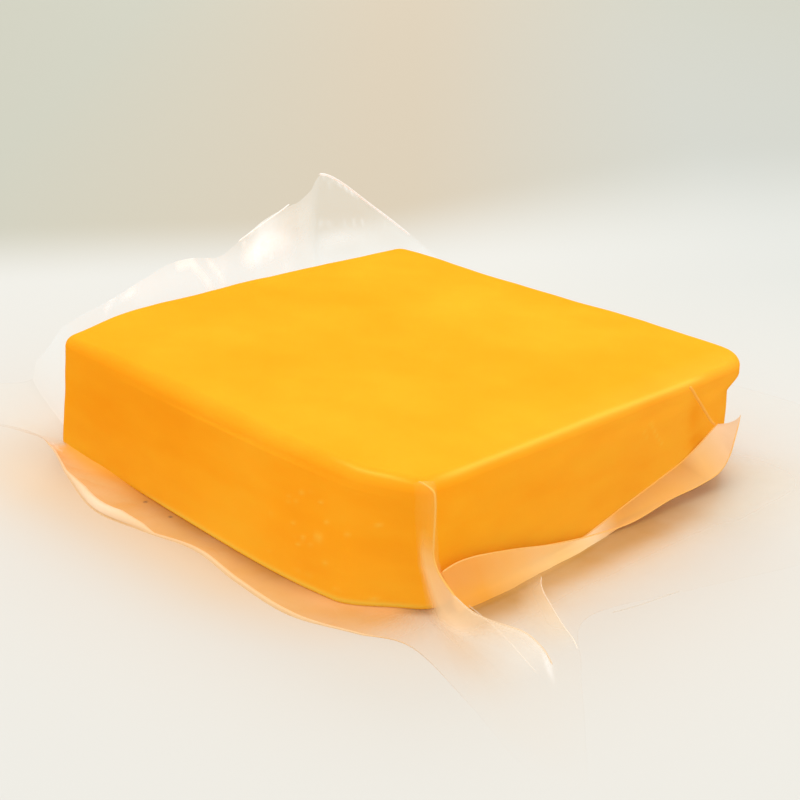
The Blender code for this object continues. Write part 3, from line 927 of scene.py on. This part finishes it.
def flange_film(stations, grid, share, foot, mouth_share, crumple, small):
    """The flange's veil and tone at each point.

    The veil is a bell over the distance from the foot, lower on the far side and on the ears, with the
    mouth's own veil over it. The tone is the table's, warmed near the slab by the cheese's painted orange
    light, and goes to the foot's painted shade where the slab shades the film.
    """
    x, y, z = grid[:, :, 0], grid[:, :, 1], grid[:, :, 2]
    near = np.linalg.norm(grid[:, :, :2] - foot, axis=2)
    left_side = smooth_step(0.016, 0.055, stations) * (1.0 - smooth_step(0.95, 1.0, stations))
    right_side = smooth_step(0.96, 1.02, stations) * (1.0 - smooth_step(1.95, 2.12, stations))
    rear_half = smooth_step(1.55, 1.85, stations)
    far_side = 1.0 - left_side - right_side
    ear_share = np.clip(hump(1.01, 0.035, stations) + hump(0.0, 0.012, stations), 0.0, 1.0)
    right_veil = 0.58 * np.exp(-(near / 19.0) ** 2) + 0.22 * rear_half * smooth_step(48.0, 10.0, near)
    veil = left_side * 0.94 * np.exp(-(near / 30.0) ** 2) + right_side * right_veil
    veil = veil + far_side * (0.08 + 0.16 * np.exp(-near / 18.0))
    veil = veil * (1.0 - 0.6 * ear_share * smooth_step(6.0, 22.0, near))
    veil = np.maximum(veil, 0.035 * (1.0 - ear_share * smooth_step(0.6, 1.0, share)))
    veil = np.maximum(veil, mouth_share * mouth_veil(y, z, crumple, small))

    # Painted shade: close to the foot the film is darkened and made more opaque, for as far as it is in
    # shadow
    under_skirt = smooth_step(1.0, 1.04, stations) * (1.0 - smooth_step(1.75, 1.95, stations))
    reach_of_shade = 4.4 + 2.6 * under_skirt
    shade = np.exp(-(np.maximum(near - 7.5 * under_skirt, 0.0) / reach_of_shade) ** 2)
    shade = shade * (left_side + right_side * (1.0 - 0.45 * rear_half))
    shade = shade * (1.0 - 0.9 * hump(0.99, 0.035, stations))
    table_tone = tones_at(TABLE_TONES, stations % 4.0)
    foot_shade_tone = tones_at(FOOT_SHADE_AND_GLOW_TONES, stations % 4.0)
    tone = blend_tones(shade, table_tone, foot_shade_tone)
    tone = blend_tones(mouth_share * smooth_step(0.1, 0.4, share), tone, TONE_CLEAR)
    veil = veil + (0.95 - veil) * 0.95 * shade

    # The front ear has a wash of colour round the corner, and a painted white highlight along a fold
    from_corner = np.hypot(x - EAR_START[0], y - EAR_START[1])
    ear_wash = 0.56 * np.exp(-(from_corner / 22.0) ** 2) * (left_side + right_side * ear_share)
    veil = np.maximum(veil, ear_wash)
    ear_fold_highlight = np.exp(-(line_distance(x, y, EAR_FOLD) / 0.8) ** 2)
    ear_fold_highlight = ear_fold_highlight * smooth_step(92.0, 96.0, x) * smooth_step(107.0, 98.0, x)
    tone = blend_tones(1.5 * ear_fold_highlight, tone, TONE_HIGHLIGHT_WHITE)
    veil = np.maximum(veil, 0.28 * ear_fold_highlight)
    for speck_x, speck_y in FILM_SPECKS:
        spot = np.exp(-(((x - speck_x) ** 2 + (y - speck_y) ** 2) / SPECK_RADIUS) ** 2)
        tone = blend_tones(spot, tone, TONE_SPECK)

    # The rim that curls back is nearly opaque, with a painted pale highlight where it is widest
    on_rim = np.arange(len(grid)) > FLANGE_ACROSS
    rim = smooth_step(0.012, 0.05, stations) * left_side
    veil[on_rim] = veil[on_rim] * (1.0 - rim) + 0.85 * rim
    rim_tone = blend_tones(hump(0.31, 0.10, stations), TONE_RIM, TONE_RIM_HIGHLIGHT)
    tone[on_rim] = blend_tones(rim, tone[on_rim], rim_tone)
    return veil, tone


def make_flange():
    """The lower sheet: from under the foot along the table to the free edge, with a rim that curls back."""
    stations, edge = flange_edge()
    foot, outward = foot_line(stations, -0.1)
    standing = smooth_step(12.0, 30.0, edge[:, 2])
    grid, share, crumple, small = flange_grid(stations, edge, foot, outward, standing)
    mouth_share = smooth_step(2.85, 3.0, stations) * (1.0 - smooth_step(3.88, 3.97, stations))
    veil, tone = flange_film(stations, grid, share, foot, mouth_share, crumple, small)
    crinkle = 0.05 + 0.95 * mouth_share * smooth_step(0.05, 0.3, share)
    flange = film_piece("film_flange", grid, veil, tone, crinkle, wrap=True)
    flange.data.materials.append(STANDING_FILM)
    corner = grid_faces(*grid.shape[:2], True)[:, 0]
    stands = (mouth_share > 0.02)[corner % len(stations)] & (corner >= 4 * len(stations))
    flange.data.polygons.foreach_set("material_index", stands.astype(np.int32))
    return let_light_through(flange)


def wall_x(y, z):
    """How far out the front right wall stands at each y and height: that height's outline, read at y."""
    found = []
    for across, height in zip(y, z):
        stations, points = outline(height)
        side = (stations > 1.0) & (stations < 2.0)
        found.append(np.interp(across, points[side, 1], points[side, 0]))
    return np.array(found)


def side_skirt_curves():
    """The free edge, the belly and the release line of the front right skirt."""
    rows = open_spline(SIDE_SKIRT, 360)
    edge = rows[:, 0:3]
    belly = rows[:, 3:6]
    height = np.clip(rows[:, 7], 1.0, 29.0)
    release = np.column_stack([wall_x(rows[:, 6], height) + 0.35, rows[:, 6], height])
    return edge, belly, release


# The skirt's colours, from the front corner to the right one, with the cheese's orange light through the film
# painted on it
SKIRT_TONES = [
    (0.00, 0.97, 0.38, 0.030),
    (0.25, 0.97, 0.40, 0.035),
    (0.42, 0.98, 0.59, 0.20),
    (0.51, 1.00, 0.70, 0.36),
    (0.58, 0.96, 0.46, 0.080),
    (0.66, 0.91, 0.44, 0.075),
    (0.80, 0.88, 0.46, 0.13),
    (0.92, 0.90, 0.58, 0.31),
    (1.00, 0.78, 0.57, 0.36),
]


def make_side_skirt():
    """The upper sheet along the front right side: its front half curls up, and its back half twists down.

    Each line across it is the quadratic curve from the release line through the belly to the free edge.
    """
    edge, belly, release = side_skirt_curves()
    control = 2.0 * belly - 0.5 * (edge + release)
    shares = np.linspace(0.0, 1.0, 48)
    grid = np.stack([(1 - t) ** 2 * release + 2 * t * (1 - t) * control + t * t * edge for t in shares])
    grid = grid + grid_normals(grid, False) * (0.12 * waves(grid, 14.0, SEED + 9))[:, :, None]
    grid[:, :, 2] = np.maximum(grid[:, :, 2], LOWEST_FILM)
    share = np.broadcast_to(shares[:, None], grid.shape[:2])
    place = np.broadcast_to(np.linspace(0.0, 1.0, grid.shape[1]), grid.shape[:2])
    curled = 1.0 - smooth_step(0.45, 0.62, place)
    veil = curled * (1.15 - 0.36 * smooth_step(0.62, 1.0, share)) + (1.0 - curled) * (0.58 + 0.35 * share)
    veil = np.maximum(veil, 1.15 * smooth_step(0.70, 0.82, place))
    # It starts under the corner fold, whose crest runs down and out across it
    veil = veil * smooth_step(0.0, 0.025, place - 0.045 - 0.10 * (1.0 - share))
    return film_piece("film_side_skirt", grid, veil, tones_at(SKIRT_TONES, place), np.zeros(share.shape))


def corner_fold_curves():
    """The crest of the corner fold, and the two lines where its flanks meet the slab or the table.

    Down the slab's corner the flanks stay beside it; further out they follow the crest and fall to the table.
    """
    rows = open_spline(CORNER_FOLD, 300)
    crest = np.column_stack([rows[:, 0], np.full(len(rows), FOLD_LINE_Y), rows[:, 1]])
    height = np.clip(rows[:, 1], 0.0, SLAB_TOP)
    share = height[:, None] / SLAB_TOP
    front = CORNERS.index("front")
    corner = CORNER_SIGNS[front] * np.array([SLAB_WIDTH, SLAB_DEPTH]) / 2.0
    corner = corner + FOOT_SHIFTS[front] * (1.0 - share) + TOP_SHIFTS[front] * share
    corner_x, corner_y = corner[:, 0], corner[:, 1]
    away = np.maximum(rows[:, 0] - corner_x - 3.0, 0.0)
    near = np.column_stack([corner_x - 2.2 + away, corner_y - 0.3 - 0.30 * away, height - 0.30 * away])
    far = np.column_stack([corner_x + 0.4 + away, corner_y + 4.0 + 0.04 * away, height - 0.30 * away])
    for flank in (near, far):
        flank[:, 2] = np.maximum(flank[:, 2] * (1.0 - smooth_step(0.0, 8.0, away)), 0.4)
    return crest, near, far


# The corner fold's colours, from the top of the slab to the end of the crest, orange with the cheese's
# painted light near the slab and paler further out
FOLD_TONES = [
    (0.00, 1.00, 0.49, 0.060),
    (0.32, 1.00, 0.50, 0.070),
    (0.43, 1.00, 0.55, 0.16),
    (0.54, 1.00, 0.65, 0.32),
    (0.68, 0.97, 0.77, 0.54),
    (0.85, 1.00, 0.88, 0.72),
    (1.00, 1.00, 0.90, 0.76),
]


def make_corner_fold():
    """The fold at the front corner, a tent of film whose crest runs down the corner and out along the ear.

    Each flank is straight across, but the near one sags by up to an eighth of a millimetre.
    """
    crest, near, far = corner_fold_curves()
    shares = np.linspace(0.0, 1.0, 20)
    sag = np.array([0.0, 0.0, -0.5])
    near_flank = [near + (crest - near) * t + sag * (t * (1 - t)) for t in shares]
    far_flank = [crest + (far - crest) * t for t in shares[1:]]
    grid = np.stack(near_flank + far_flank)
    grid[:, :, 2] = np.maximum(grid[:, :, 2], LOWEST_FILM)
    crest_near = np.concatenate([shares, shares[::-1][1:]])[:, None]
    place = np.broadcast_to(np.linspace(0.0, 1.0, grid.shape[1]), grid.shape[:2])
    out_along = smooth_step(0.45, 0.85, place)
    upper = 0.24 * crest_near ** 0.5 + 0.14 * crest_near ** 6
    on_ear = (0.30 * crest_near ** 1.5 + 0.12 * crest_near ** 5) * smooth_step(1.0, 0.86, place)
    veil = upper * (1.0 - out_along) + on_ear * out_along + 0.02
    # The near flank gathers into a peach coloured web where it meets the table
    near_side = (np.arange(len(crest_near)) < len(shares))[:, None]
    web = smooth_step(0.27, 0.42, place) * (1.0 - smooth_step(0.52, 0.76, place))
    veil = np.maximum(veil, near_side * 0.88 * web * smooth_step(0.0, 0.5, crest_near))
    fold = film_piece("film_corner_fold", grid, veil, tones_at(FOLD_TONES, place), 0.3 * out_along)
    return let_light_through(fold)


GUSSET_EDGE = [
    (71.6, -32.0), (74.0, -35.0), (77.4, -38.0), (81.2, -40.7), (89.2, -46.2), (94.8, -49.6), (98.5, -52.6),
]


def gusset_curves():
    """The gusset's free edge, and its inner side, which bends away from the corner by powers of its run."""
    outer = open_spline(GUSSET_EDGE, 120)
    place = np.linspace(0.0, 1.0, len(outer))
    inner = np.column_stack([67.0 + 30.0 * place ** 1.2, -30.0 - 30.0 * place ** 0.6])
    return outer, inner


def make_gusset():
    """The gusset beside the front ear: a second layer, ruled between its inner side and its free edge."""
    outer, inner = gusset_curves()
    shares = np.linspace(0.0, 1.0, 24)[:, None]
    flat = inner + (outer - inner) * shares[:, :, None]
    level = np.broadcast_to(1.1 + 0.8 * shares + 0.25 * np.sin(np.pi * shares), flat.shape[:2])
    grid = np.concatenate([flat, level[:, :, None]], axis=2)
    share = np.broadcast_to(shares, grid.shape[:2])
    distance = grid[:, :, 0] - 66.0
    fade = 1.0 - smooth_step(20.0, 33.0, distance)
    veil = 0.56 * share * fade * smooth_step(4.0, 9.0, distance) + 0.02
    # The gusset is warmer near the slab: painted orange light from the cheese
    tone = blend_tones(distance / 30.0, (0.72, 0.50, 0.28), (0.74, 0.60, 0.40))
    return let_light_through(film_piece("film_gusset", grid, veil, tone, 0.1 * share))


def tube_grid(path, radius, sides=8):
    """Rings square to a path, whose radius grows evenly from a point over the first 0.03 from each end."""
    along = np.gradient(path, axis=0)
    along /= np.maximum(np.linalg.norm(along, axis=1), 1e-9)[:, None]
    # The sides are square to the direction in which the path runs least
    side = np.cross(along, np.eye(3)[np.argmin(np.ptp(path, axis=0))])
    side /= np.maximum(np.linalg.norm(side, axis=1), 1e-6)[:, None]
    up = np.cross(side, along)
    place = np.linspace(0.0, 1.0, len(path))
    taper = np.minimum(1.0, np.minimum(place, 1.0 - place) / 0.03) * radius
    angles = np.linspace(0.0, 2.0 * np.pi, sides, endpoint=False)
    ring = [path + (side * np.cos(a) + up * np.sin(a)) * taper[:, None] for a in angles]
    return np.stack(ring, axis=1)


# Fine folds: along the front ear, across the sheet on the table, and the crease (y, z) in the wall's film
EAR_RIDGE = [(70.9, -56.0, 3.0), (80.7, -58.4, 2.2), (89.0, -61.6, 1.8), (98.6, -66.0, 1.5)]
SHEET_FOLD = [(93.0, -34.0, 1.7), (95.1, -26.5, 1.8), (97.1, -14.5, 1.8)]
WALL_CREASE = [(32.4, 29.0), (34.2, 27.1), (38.4, 22.0), (42.0, 17.9), (44.4, 15.9)]
GUSSET_LEVEL = 1.9


def make_edges():
    """Fine rounded beads along the film's free edges and folds, coloured with painted highlights where it
    catches the light.
    """
    stations, edge = flange_edge()
    skirt_edge, _, skirt_release = side_skirt_curves()
    crest, _, _ = corner_fold_curves()
    gusset, _ = gusset_curves()
    front = (stations > 0.03) & (stations < 0.965)
    left_mouth = (stations > 3.30) & (stations < 3.47)
    mouth = (stations > 3.04) & (stations < 3.17)
    ear_ridge = open_spline(EAR_RIDGE, 80)
    sheet_fold = open_spline(SHEET_FOLD, 60)
    crease = open_spline(WALL_CREASE, 60)
    crease = np.column_stack([wall_x(crease[:, 0], crease[:, 1]) + 0.15, crease])
    # Each line is a path, its radius, its veil and its colour, mostly a painted highlight
    lines = [
        (edge[front], 0.15, 0.70, TONE_RIM),
        (edge[mouth], 0.34, 0.70, (1.0, 1.0, 1.0)),
        (edge[left_mouth], 0.20, 0.6, (1.0, 1.0, 1.0)),
        (crease, 0.42, 0.7, (1.0, 0.45, 0.035)),
        (skirt_edge[22:], 0.18, 0.7, (1.0, 0.54, 0.12)),
        (skirt_release[150:], 0.20, 0.75, (1.0, 0.48, 0.06)),
        (crest[:160], 0.22, 0.8, (1.0, 0.50, 0.075)),
        (crest[155:285], 0.16, 0.6, (0.92, 0.66, 0.40)),
        (np.column_stack([gusset, np.full(len(gusset), GUSSET_LEVEL)]), 0.13, 0.35, TONE_PALE),
        (ear_ridge, 0.12, 0.20, TONE_PALE),
        (sheet_fold, 0.10, 0.25, (0.72, 0.60, 0.42)),
    ]
    points = []
    faces = []
    veil = []
    tone = []
    count = 0
    for path, radius, strength, color in lines:
        grid = tube_grid(path, radius)
        size = grid.shape[0] * grid.shape[1]
        faces += (grid_faces(*grid.shape[:2], True) + count).tolist()
        count += size
        points.append(grid.reshape(-1, 3))
        veil.append(np.full(size, strength))
        tone.append(np.tile(color, (size, 1)))
    points = np.vstack(points)
    values = {"veil": np.concatenate(veil), "tone": np.vstack(tone), "crinkle": np.zeros(len(points))}
    return let_light_through(new_piece("film_edges", points, faces, FILM_EDGE, "clear_film", **values))


# The table's colours: near the pack, in the cheese's painted warm light, and behind it
FLOOR_NEAR = (0.620, 0.622, 0.596, 1.0)
FLOOR_GLOW = (0.68, 0.53, 0.36, 1.0)
FLOOR_FAR = (0.500, 0.440, 0.345, 1.0)
FLOOR_FAR_SIDES = (0.450, 0.455, 0.390, 1.0)
FLOOR_FAR_RIGHT = (0.465, 0.480, 0.450, 1.0)
FLOOR_NEAR_RIGHT = (0.565, 0.580, 0.560, 1.0)
TABLE_HALF = 3000.0
TABLE_LEVEL = -0.2
# In metres: where the table starts to turn beige, where it has turned, and how much later at the right
BEIGE_FROM = 0.168
BEIGE_AT = 0.250
BEIGE_LATER = 0.10
BEIGE_SLANT = 0.26
# The painted warm light's source is the slab, by half its width and depth in metres
GLOW_HALF = (0.064, 0.066)
GLOW_FALL = -34.0
GLOW_SHARE = 0.50
FRONT_GLOW_SHARE = 0.95
FRONT_GLOW_REACH = 0.027


def table_glow(nodes, x, y):
    """How strongly the cheese's painted warm light colours each point of the table.

    It is e to the power of the distance from the slab times GLOW_FALL, weaker at the back. Before the front
    left side it is one over one plus the fourth power of the distance by FRONT_GLOW_REACH.
    """
    off_x = nodes.larger(nodes.minus(nodes.math("ABSOLUTE", x), GLOW_HALF[0]), 0.0)
    off_y = nodes.larger(nodes.minus(nodes.math("ABSOLUTE", y), GLOW_HALF[1]), 0.0)
    squares = nodes.plus(nodes.math("POWER", off_x, 2.0), nodes.math("POWER", off_y, 2.0))
    off = nodes.math("SQRT", squares)
    glow = nodes.times(nodes.math("POWER", math.e, nodes.times(off, GLOW_FALL)), GLOW_SHARE)
    glow = nodes.times(glow, nodes.minus(1.0, nodes.times(nodes.spread(y, 0.0, 0.05), 0.8)))
    before = nodes.larger(nodes.minus(nodes.times(y, -1.0), GLOW_HALF[1]), 0.0)
    fall = nodes.math("POWER", nodes.math("DIVIDE", before, FRONT_GLOW_REACH), 4.0)
    strong = nodes.math("DIVIDE", FRONT_GLOW_SHARE, nodes.plus(1.0, fall))
    strong = nodes.times(strong, nodes.spread(y, -0.045, -0.060))
    strong = nodes.times(strong, nodes.spread(x, -0.105, -0.045))
    strong = nodes.times(strong, nodes.spread(x, 0.085, 0.025))
    return nodes.larger(glow, strong)


def table_material():
    """A pale matte surface that turns beige behind the pack, along the camera's direction, with the cheese's
    warm light painted round the pack.
    """
    material, nodes, shader = new_material("table")
    place = nodes.add("ShaderNodeTexCoord").outputs["Object"]
    x, y, _ = nodes.add("ShaderNodeSeparateXYZ", {0: place}).outputs
    behind = nodes.plus(nodes.times(x, math.sin(YAW)), nodes.times(y, math.cos(YAW)))
    beside = nodes.plus(nodes.times(x, math.cos(YAW)), nodes.times(y, -math.sin(YAW)))
    behind = nodes.minus(behind, nodes.times(beside, BEIGE_SLANT))
    uneven = nodes.times(nodes.minus(nodes.noise(place, 3.0, 2.0), 0.5), 0.02)
    behind = nodes.plus(behind, uneven)
    furthest = nodes.plus(BEIGE_AT, nodes.times(nodes.spread(beside, -0.02, 0.12), BEIGE_LATER))
    reach = {"Value": behind, "From Min": BEIGE_FROM, "From Max": furthest}
    step = nodes.add("ShaderNodeMapRange", reach, interpolation_type="SMOOTHSTEP")
    aside = nodes.spread(nodes.math("ABSOLUTE", beside), 0.02, 0.17)
    far = nodes.blend(aside, FLOOR_FAR, FLOOR_FAR_SIDES)
    to_right = nodes.times(nodes.spread(beside, 0.0, 0.13), nodes.spread(behind, 1.0, 0.3))
    far = nodes.blend(to_right, far, FLOOR_FAR_RIGHT)
    back_right = nodes.times(nodes.spread(beside, 0.03, 0.14), nodes.spread(behind, 0.02, 0.14))
    near = nodes.blend(back_right, FLOOR_NEAR, FLOOR_NEAR_RIGHT)
    near = nodes.blend(table_glow(nodes, x, y), near, FLOOR_GLOW)
    nodes.fill(shader, {
        "Base Color": nodes.blend(step.outputs[0], near, far),
        "Roughness": 0.8,
        "Specular IOR Level": 0.05,
    })
    return material


def make_table():
    """One wide flat square, just under the film."""
    half = TABLE_HALF
    corners = np.array([(-half, -half), (half, -half), (half, half), (-half, half)])
    points = np.column_stack([corners, np.full(4, TABLE_LEVEL)])
    mesh = bpy.data.meshes.new("table")
    mesh.from_pydata((points * MM).tolist(), [], [(0, 1, 2, 3)])
    mesh.materials.append(table_material())
    table = bpy.data.objects.new("table", mesh)
    bpy.context.scene.collection.objects.link(table)


def add_light(name, place, target, size, power, color):
    """A square lamp at a place, turned towards its target."""
    lamp = bpy.data.lights.new(name, "AREA")
    lamp.shape = "RECTANGLE"
    lamp.size, lamp.size_y = size
    lamp.energy = power
    lamp.color = color
    made = bpy.data.objects.new(name, lamp)
    made.location = place
    made.rotation_euler = (Vector(target) - Vector(place)).to_track_quat("-Z", "Y").to_euler()
    bpy.context.scene.collection.objects.link(made)


# The camera's direction, its place in metres and its lens in millimetres
YAW = math.radians(-43.12)
PITCH = math.radians(20.94)
ROLL = math.radians(1.87)
CAMERA_PLACE = (0.3040, -0.3285, 0.1868)
CAMERA_LENS = 83.52


def add_camera():
    """The camera of the photo, fitted to the slab's corners."""
    forward = Vector((math.sin(YAW), math.cos(YAW), 0.0))
    right = Vector((math.cos(YAW), -math.sin(YAW), 0.0))
    up = Vector((0.0, 0.0, 1.0))
    look = forward * math.cos(PITCH) - up * math.sin(PITCH)
    rise = forward * math.sin(PITCH) + up * math.cos(PITCH)
    x_axis = right * math.cos(ROLL) + rise * math.sin(ROLL)
    y_axis = rise * math.cos(ROLL) - right * math.sin(ROLL)
    data = bpy.data.cameras.new("camera")
    data.lens = CAMERA_LENS
    data.sensor_width = 36.0
    data.clip_start = 0.01
    camera = bpy.data.objects.new("camera", data)
    turn = Matrix((x_axis, y_axis, -look)).transposed()
    camera.matrix_world = Matrix.Translation(CAMERA_PLACE) @ turn.to_4x4()
    bpy.context.scene.collection.objects.link(camera)
    bpy.context.scene.camera = camera


def light_scene():
    """An even pale room, with a soft ceiling lamp and a window behind the left side."""
    scene = bpy.context.scene
    scene.view_settings.view_transform = "Standard"
    scene.view_settings.look = "None"
    world = bpy.data.worlds.new("pale room")
    world.use_nodes = True
    background = world.node_tree.nodes["Background"]
    background.inputs["Color"].default_value = (1.0, 0.985, 0.96, 1.0)
    background.inputs["Strength"].default_value = 0.94
    scene.world = world
    add_light("ceiling", (0.0, 0.1, 1.3), (0.0, 0.0, 0.0), (1.2, 1.2), 9.0, (1.0, 0.98, 0.95))
    add_light("window", (-0.9, 0.9, 0.7), (0.0, 0.0, 0.02), (0.5, 0.5), 3.0, (1.0, 1.0, 1.0))


# The looks that pieces share; a film has its gloss, and the strength of its painted glow, an emission
# standing in for light that comes through it
MOTTLING = mottling_group()
CRINKLES = crinkle_group()
FILM = film_material("clear film", 0.08, 0.0)
STANDING_FILM = film_material("clear standing film", 0.08, 0.41)
FILM_EDGE = film_material("clear film edge", 0.0, 0.0)

make_cheese()
flange = make_flange()
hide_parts("vacuum_pouch")
make_side_skirt()
make_corner_fold()
make_gusset()
make_edges()
make_table()
light_scene()
add_camera()
